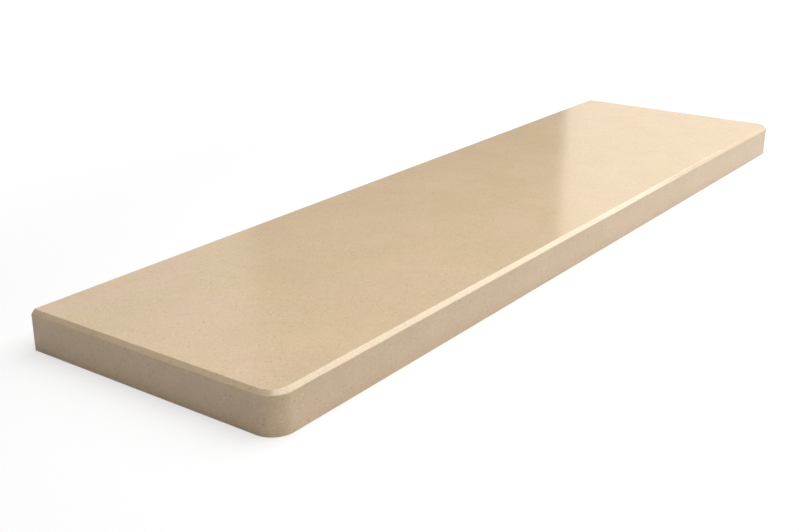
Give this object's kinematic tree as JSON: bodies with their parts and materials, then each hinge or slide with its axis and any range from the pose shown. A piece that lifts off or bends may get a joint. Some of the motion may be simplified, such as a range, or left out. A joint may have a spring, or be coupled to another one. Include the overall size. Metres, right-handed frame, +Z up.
{
  "type": "window sill board",
  "caption": "Flat rectangular stone window sill board with rounded front corners and a chamfered top edge, square at the back where it meets the window frame.",
  "frame": {"origin": "middle of the underside", "axes": "+X along the board's length, +Y from the front edge towards the window frame, +Z up out of the polished top"},
  "size_m": [0.82, 0.22, 0.03],
  "materials": {
    "engineered_stone": "polished"
  },
  "bodies": {
    "root": {"sill_board": "engineered_stone"}
  },
  "joints": []
}
